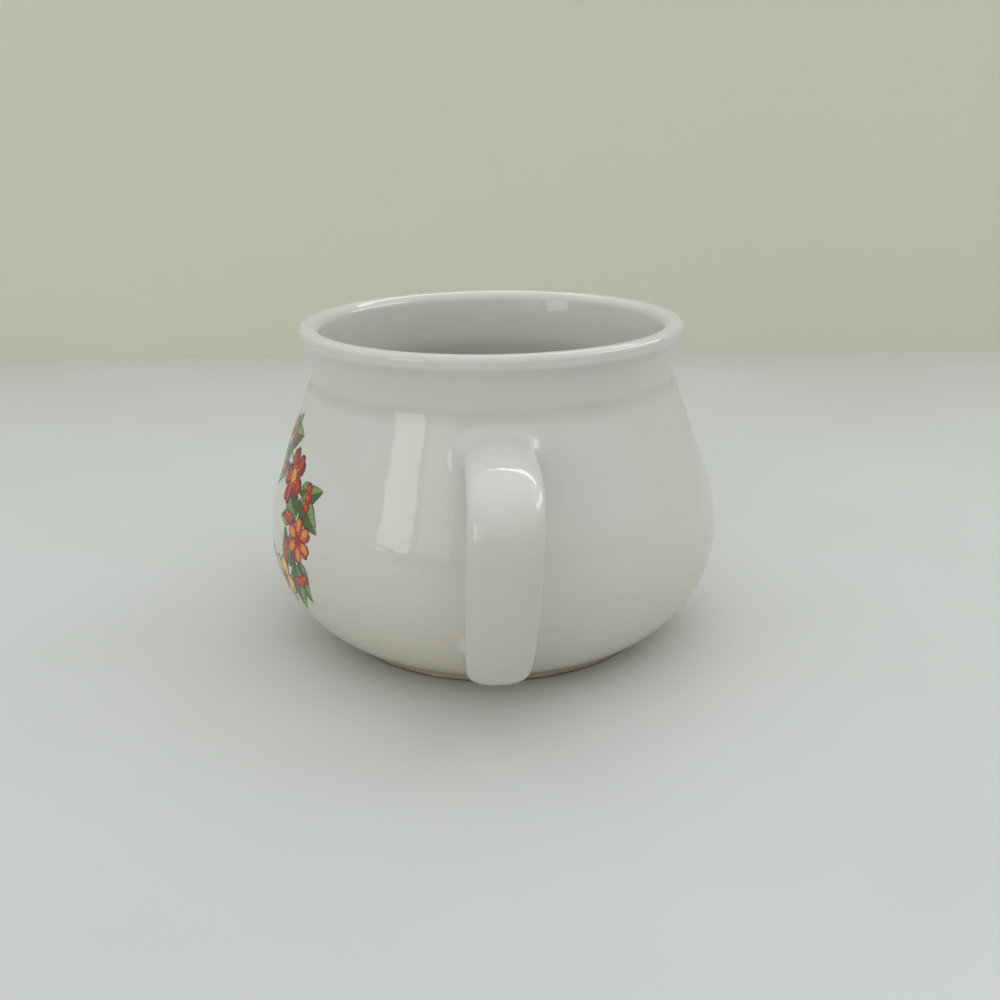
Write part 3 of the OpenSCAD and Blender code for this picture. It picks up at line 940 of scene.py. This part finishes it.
def ceramic_group():
    """Colour, roughness and surface of a fired white glaze over pale biscuit. Heights are in metres."""
    tree, takes, gives = group(
        "fired glaze",
        [
            ("Place", "Vector", None),
            ("Glaze", "Color", (*WHITE_GLAZE, 1)),
            ("Biscuit", "Color", (*BISCUIT, 1)),
            ("Bare height", "Float", BARE_HEIGHT),
            ("Roughness", "Float", GLAZE_GLOSS),
            ("Inside", "Float", 0.0),
            ("Pooled", "Float", 0.0),
        ],
        [("Color", "Color"), ("Roughness", "Float"), ("Normal", "Vector")],
    )
    place = takes.outputs["Place"]
    inside = takes.outputs["Inside"]
    outside = ramp(tree, inside, 0.6, 0.4)
    pooled = takes.outputs["Pooled"]
    parts = put(tree, "ShaderNodeSeparateXYZ", {0: place})
    height = parts.outputs["Z"]
    from_axis = parts.outputs["X"]
    drift = noise(tree, place, 14, 2, 0.5)
    cloud = noise(tree, place, 45, 3, 0.55)
    fine = noise(tree, place, 900, 2, 0.5)

    # Slow drift of tone, thin glaze on the lip, and warmer towards the foot as painted warm bounce light from
    # the shade under the mug
    colour = blend(tree, ramp(tree, drift, 0.35, 0.65, 0, 0.6), takes.outputs["Glaze"], CREAM_DRIFT)
    colour = blend(tree, ramp(tree, cloud, 0.5, 0.72, 0, 0.45), colour, COOL_CLOUD)
    colour = blend(tree, ramp(tree, height, *THIN_AT_LIP, 0, 0.18), colour, THIN_LIP)
    colour = blend(tree, ramp(tree, height, *WARMER_DOWN, 0, 0.8), colour, PAINTED_WARM_BOUNCE)
    # Painted shade in the hollow just above the foot ring
    painted_foot_shade = product(tree, outside, ramp(tree, height, *SHADED_FOOT, 0, 0.6))
    colour = blend(tree, painted_foot_shade, colour, FOOT_SHADE)

    # Painted shade in the crease of the neck and under the lip
    crease = product(tree, *(ramp(tree, height, *ends) for ends in CREASE))
    under_lip = product(tree, *(ramp(tree, height, *ends) for ends in UNDER_LIP))
    both = maths(tree, "ADD", crease, product(tree, under_lip, 0.5))
    uneven = ramp(tree, cloud, 0.3, 0.7, 0.25, 0.6)
    colour = blend(tree, product(tree, both, outside, uneven), colour, CREASE_AND_LIP_SHADE)

    # Painted shade on the strap's outer face, lower down
    strap_shade = product(tree, ramp(tree, from_axis, *STRAP_SHADE_OUT), ramp(tree, height, *STRAP_SHADE_DOWN, 0, 0.75))
    colour = blend(tree, strap_shade, colour, STRAP_FACE_SHADE)
    # Painted warm shade and reflection low inside the pot
    inside_shade = product(tree, inside, ramp(tree, height, *SHADED_INSIDE, 0, 0.3))
    colour = blend(tree, inside_shade, colour, INSIDE_WARM_SHADE)
    # Glaze pooled round the roots, tinted darker and cooler as painted shade in the joint
    colour = blend(tree, product(tree, pooled, 0.35), colour, ROOT_POOL_SHADE)

    # A few small specks
    cells = put(tree, "ShaderNodeTexVoronoi", {"Vector": place, "Scale": 210, "Randomness": 1.0})
    drawn = put(tree, "ShaderNodeTexWhiteNoise", {"Vector": cells.outputs["Position"]}, noise_dimensions="3D")
    picked = ramp(tree, drawn.outputs["Value"], 0.975, 0.985)
    speck = product(tree, ramp(tree, cells.outputs["Distance"], 0.05, 0.03), picked)
    colour = blend(tree, product(tree, speck, 0.55), colour, IRON_SPECK)

    # Fine scratches from spoons, low inside
    spooned = {"Vector": place, "Rotation": (0.3, 0.2, 0.7), "Scale": (1, 9, 1)}
    stretched = put(tree, "ShaderNodeMapping", spooned).outputs[0]
    scratch = ramp(tree, noise(tree, stretched, 260, 2, 0.6), 0.66, 0.74)
    low_inside = product(tree, inside, ramp(tree, height, *SPOONED_INSIDE))
    marks = product(tree, scratch, low_inside, 0.35)
    colour = blend(tree, marks, colour, SCRATCH)

    # Bare biscuit on the foot ring, below a slightly wavy edge of the glaze
    wobble = product(tree, maths(tree, "SUBTRACT", noise(tree, place, 160, 3, 0.6), 0.5), 0.0012)
    edge = maths(tree, "ADD", takes.outputs["Bare height"], wobble)
    from_edge = maths(tree, "SUBTRACT", height, edge)
    bare = product(tree, ramp(tree, from_edge, 0.00012, -0.00012), outside)
    biscuit = blend(tree, ramp(tree, fine, 0.3, 0.7, 0, 0.6), takes.outputs["Biscuit"], PALE_BISCUIT)
    colour = blend(tree, bare, colour, biscuit)
    tree.links.new(colour, gives.inputs["Color"])

    gloss = maths(tree, "ADD", takes.outputs["Roughness"], ramp(tree, cloud, 0.4, 0.8, 0, 0.05))
    for mask, rougher in ((marks, 0.5), (pooled, 0.14), (bare, 0.72)):
        gloss = maths(tree, "ADD", gloss, product(tree, mask, rougher))
    tree.links.new(gloss, gives.inputs["Roughness"])

    # Ripple and crinkle of the glaze, grain of the biscuit, a pit at each speck
    ripple = bump(tree, noise(tree, place, 75, 1.5, 0.4), 0.10, 0.0012)
    leaning = {"Vector": place, "Rotation": (0.6, 0.0, 0.4), "Scale": (1, 1, 2.2)}
    slanted = put(tree, "ShaderNodeMapping", leaning).outputs[0]
    in_places = ramp(tree, noise(tree, place, 30, 1, 0.5), 0.42, 0.62)
    crinkle = product(tree, noise(tree, slanted, 210, 1.5, 0.5), in_places)
    normal = bump(tree, crinkle, 0.12, 0.0010, ripple)
    normal = bump(tree, product(tree, fine, bare), 0.4, 0.0002, normal)
    normal = bump(tree, maths(tree, "SUBTRACT", 1.0, speck), 0.3, 0.0001, normal)
    tree.links.new(normal, gives.inputs["Normal"])
    return tree


def new_material(name):
    """A material with its tree and its shader."""
    mat = bpy.data.materials.new(name)
    mat.use_nodes = True
    return mat, mat.node_tree, mat.node_tree.nodes["Principled BSDF"]


def dress(tree, look, shader, values, ior):
    """Places a look's group in a material with its own values and feeds the shader from it."""
    coat = put(tree, "ShaderNodeGroup", values, node_tree=look)
    for given, taken in (("Color", "Base Color"), ("Roughness", "Roughness"), ("Normal", "Normal")):
        tree.links.new(coat.outputs[given], shader.inputs[taken])
    shader.inputs["IOR"].default_value = ior


def glaze_material(look):
    """The white glaze on the pot and the strap."""
    mat, tree, shader = new_material("white glaze")
    values = {
        "Place": put(tree, "ShaderNodeTexCoord").outputs["Object"],
        "Inside": put(tree, "ShaderNodeAttribute", attribute_name="inside").outputs["Fac"],
        "Pooled": put(tree, "ShaderNodeAttribute", attribute_name="pooled").outputs["Fac"],
        "Glaze": (*WHITE_GLAZE, 1),
        "Biscuit": (*BISCUIT, 1),
        "Bare height": BARE_HEIGHT,
        "Roughness": GLAZE_GLOSS,
    }
    dress(tree, look, shader, values, GLAZE_IOR)
    return mat


def ink_group():
    """Fired-on colour: shaded from the middle of a shape to its edge, with a fine grain and small gaps."""
    tree, takes, gives = group(
        "fired colour",
        [
            ("Place", "Vector", None),
            ("Middle", "Color", (0.5, 0.05, 0.03, 1)),
            ("Edge", "Color", (0.3, 0.02, 0.02, 1)),
            ("Tone", "Float", 0.0),
        ],
        [("Color", "Color"), ("Roughness", "Float"), ("Normal", "Vector")],
    )
    place = takes.outputs["Place"]
    cloud = noise(tree, place, 500, 2, 0.6)
    share = maths(tree, "ADD", takes.outputs["Tone"], ramp(tree, cloud, 0.3, 0.7, -0.22, 0.22))
    shaded = ramp(tree, share, 0.15, 0.95)
    colour = blend(tree, shaded, takes.outputs["Middle"], takes.outputs["Edge"])
    gaps = ramp(tree, noise(tree, place, 3200, 1, 0.5), 0.52, 0.75, 0, 0.08)
    colour = blend(tree, gaps, colour, GLAZE_IN_GAPS)
    tree.links.new(colour, gives.inputs["Color"])
    tree.links.new(ramp(tree, cloud, 0.2, 0.8, 0.10, 0.2), gives.inputs["Roughness"])
    tree.links.new(bump(tree, noise(tree, place, 900, 2, 0.5), 0.12, 0.0002), gives.inputs["Normal"])
    return tree


def ink(look, name, middle, edge):
    """One printed colour, lighter or darker towards the edge of each shape."""
    mat, tree, shader = new_material(name + " ink")
    values = {
        "Place": put(tree, "ShaderNodeTexCoord").outputs["Object"],
        "Tone": put(tree, "ShaderNodeAttribute", attribute_name="tone").outputs["Fac"],
        "Middle": (*middle, 1),
        "Edge": (*edge, 1),
    }
    dress(tree, look, shader, values, INK_IOR)
    return mat


def matt_material(name, first, second, roughness, scale):
    """A plain painted surface with a faint drift of tone."""
    mat, tree, shader = new_material(name)
    place = put(tree, "ShaderNodeTexCoord").outputs["Object"]
    colour = blend(tree, ramp(tree, noise(tree, place, scale, 3, 0.5), 0.3, 0.7), first, second)
    tree.links.new(colour, shader.inputs["Base Color"])
    shader.inputs["Roughness"].default_value = roughness
    return mat


# ---------------------------------------------------------------- the pieces

glaze = glaze_material(ceramic_group())
ink_look = ink_group()
inks = {name: ink(ink_look, name, middle, edge) for name, middle, edge in PRINT_COLOURS}

below_and_outside = joined(pot_underside(), OUTSIDE)
pot_rings = joined(below_and_outside, pot_inside())
pot = turned("pot", pot_rings, AROUND_POT)
pot.data.materials.append(glaze)
first_inside = len(below_and_outside) - 1
on_rings = [float(k >= first_inside) for k in range(1, len(pot_rings) - 1)]
mark(pot, "inside", np.concatenate([np.repeat(on_rings, AROUND_POT), [0, 1]]))
handle = make_handle()
handle.data.materials.append(glaze)
wreath = make_print(inks)

for piece, nodes, finish in (
    (pot, ["body"], "glaze"),
    (handle, ["handle", "upper_slip_joint", "lower_slip_joint"], "glaze"),
    (wreath, ["transfer_print"], "enamel"),
):
    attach(piece, "root")
    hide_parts(*nodes)


# ---------------------------------------------------------------- table, wall, camera and light

# Places and sizes in metres
WALL_X = -0.364
WALL_TURN = math.radians(3.0)
ROOM = 2.5
WALL_H = 0.3
TABLE_TONES = ((0.66, 0.67, 0.65), (0.63, 0.64, 0.61))
WALL_TONES = ((0.74, 0.74, 0.62), (0.72, 0.73, 0.60))


def stage_plane(name, corners, mat):
    """A flat sheet that only sets the scene."""
    obj = mesh_object(name, corners, [tuple(range(len(corners)))], smooth=False)
    obj.data.materials.append(mat)
    return obj


along = Vector((math.sin(WALL_TURN), math.cos(WALL_TURN), 0)) * ROOM
foot_of_wall = Vector((WALL_X, 0, 0))
near = Vector((ROOM, 0, 0))
high = Vector((0, 0, WALL_H))
left, right = foot_of_wall - along, foot_of_wall + along
table_finish = matt_material("pale table", *TABLE_TONES, roughness=0.55, scale=9)
wall_finish = matt_material("pale wall", *WALL_TONES, roughness=0.8, scale=3)
stage_plane("table", [left, left + near, right + near, right], table_finish)
stage_plane("backdrop", [left, right, right + high, left + high], wall_finish)

CAMERA_PLACE = Vector((302.52, -6.87, 136.8)) * MM
CAMERA_DOWN = math.radians(18.77)
CAMERA_ROLL = math.radians(-0.792)
CAMERA_LENS = 41.508
CAMERA_FILM = 36
CAMERA_SHIFT = 0.00668

cam_data = bpy.data.cameras.new("camera")
cam = bpy.data.objects.new("camera", cam_data)
bpy.context.scene.collection.objects.link(cam)
bpy.context.scene.camera = cam
cam_data.lens = CAMERA_LENS
cam_data.sensor_width = CAMERA_FILM
cam_data.shift_x = CAMERA_SHIFT
level = Vector((CAMERA_PLACE.x, CAMERA_PLACE.y, 0)).normalized()
back = level * math.cos(CAMERA_DOWN) + Vector((0, 0, math.sin(CAMERA_DOWN)))
flat_right = Vector((0, 0, 1)).cross(back).normalized()
flat_up = back.cross(flat_right)
c, s = math.cos(CAMERA_ROLL), math.sin(CAMERA_ROLL)
axes = Matrix((flat_right * c + flat_up * s, flat_up * c - flat_right * s, back))
cam.matrix_world = Matrix.Translation(CAMERA_PLACE) @ axes.transposed().to_4x4()

LAMP_AIM = Vector((0, 0, 0.04))


def softbox(name, azimuth, elevation, distance, wide, high, radiance, colour, lean=0):
    """A flat lamp that looks at the mug. Azimuth runs from the handle's side. Lean turns it in its plane."""
    data = bpy.data.lights.new(name, "AREA")
    data.shape = "RECTANGLE"
    data.size = wide
    data.size_y = high
    data.energy = radiance * math.pi * wide * high
    data.color = colour
    lamp = bpy.data.objects.new(name, data)
    bpy.context.scene.collection.objects.link(lamp)
    a, e = math.radians(azimuth), math.radians(elevation)
    way = Vector((math.cos(e) * math.cos(a), math.cos(e) * math.sin(a), math.sin(e)))
    lamp.location = way * distance + LAMP_AIM
    turn = way.to_track_quat("Z", "Y") @ Quaternion((0, 0, 1), math.radians(lean))
    lamp.rotation_euler = turn.to_euler()
    return lamp


# A broad pale light on the right
softbox("right_window", 98, 40, 1.7, 1.1, 1.2, 0.55, (1.0, 0.995, 0.98))

# Two cards that are seen only as bright lines on the lip and on the strap's bend
for card in (
    softbox("right_card", 97, 35, 1.6, 1.4, 0.34, 3.2, (1.0, 1.0, 0.99), -25),
    softbox("back_card", 158, 47, 1.5, 1.2, 0.17, 3.9, (0.98, 1.0, 1.0)),
):
    card.visible_diffuse = False

# A window in front on the left, and its dimmer half beside it
softbox("window", -51, 15, 1.3, 0.40, 0.44, 2.0, (1.0, 1.0, 0.97))
softbox("window_side", -30, 15, 1.35, 0.36, 0.44, 0.66, (1.0, 1.0, 0.98))

# Soft light from all round, warmer from below and brighter from above
LOW_LIGHT = (0.345, 0.332, 0.262)
HIGH_LIGHT = (1.0, 1.035, 1.065)
world = bpy.data.worlds.new("world")
bpy.context.scene.world = world
world.use_nodes = True
sky = world.node_tree
ray = put(sky, "ShaderNodeTexCoord").outputs["Generated"]
upward = put(sky, "ShaderNodeSeparateXYZ", {0: ray}).outputs["Z"]
tone = blend(sky, ramp(sky, upward, -0.1, 0.95), LOW_LIGHT, HIGH_LIGHT)
sky.links.new(tone, sky.nodes["Background"].inputs["Color"])

bpy.context.scene.view_settings.view_transform = "Standard"
